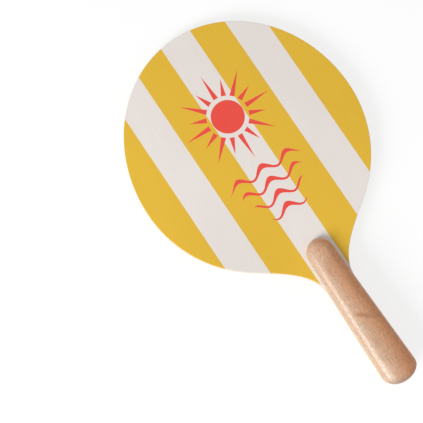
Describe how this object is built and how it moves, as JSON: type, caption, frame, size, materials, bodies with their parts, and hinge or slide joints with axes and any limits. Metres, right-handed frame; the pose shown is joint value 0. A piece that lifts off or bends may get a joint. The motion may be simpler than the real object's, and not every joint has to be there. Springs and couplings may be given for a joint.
{
  "type": "frescobol racket",
  "caption": "Wooden beach racket with a broad egg-shaped plywood blade painted in stripes and rounded wooden scales glued to its tang as a handle.",
  "frame": {"origin": "centre of the racket's box, which lies in the middle of the blade's thickness", "axes": "+X across the racket, +Y along it towards the tip of the head, +Z out of the front face"},
  "size_m": [0.24, 0.4076, 0.0298],
  "materials": {
    "striped_face": "satin paint in yellow and warm white stripes",
    "along_grain_ply": "sanded plywood edge, clear lacquer",
    "across_grain_ply": "sanded plywood edge, clear lacquer",
    "handle_wood": "satin clear lacquer"
  },
  "bodies": {
    "root": {"front_face_veneer": "striped_face", "front_crossband": "across_grain_ply", "front_inner_ply": "along_grain_ply", "core_ply": "across_grain_ply", "back_inner_ply": "along_grain_ply", "back_crossband": "across_grain_ply", "back_face_veneer": "striped_face", "front_handle_scale": "handle_wood", "back_handle_scale": "handle_wood"}
  },
  "joints": []
}
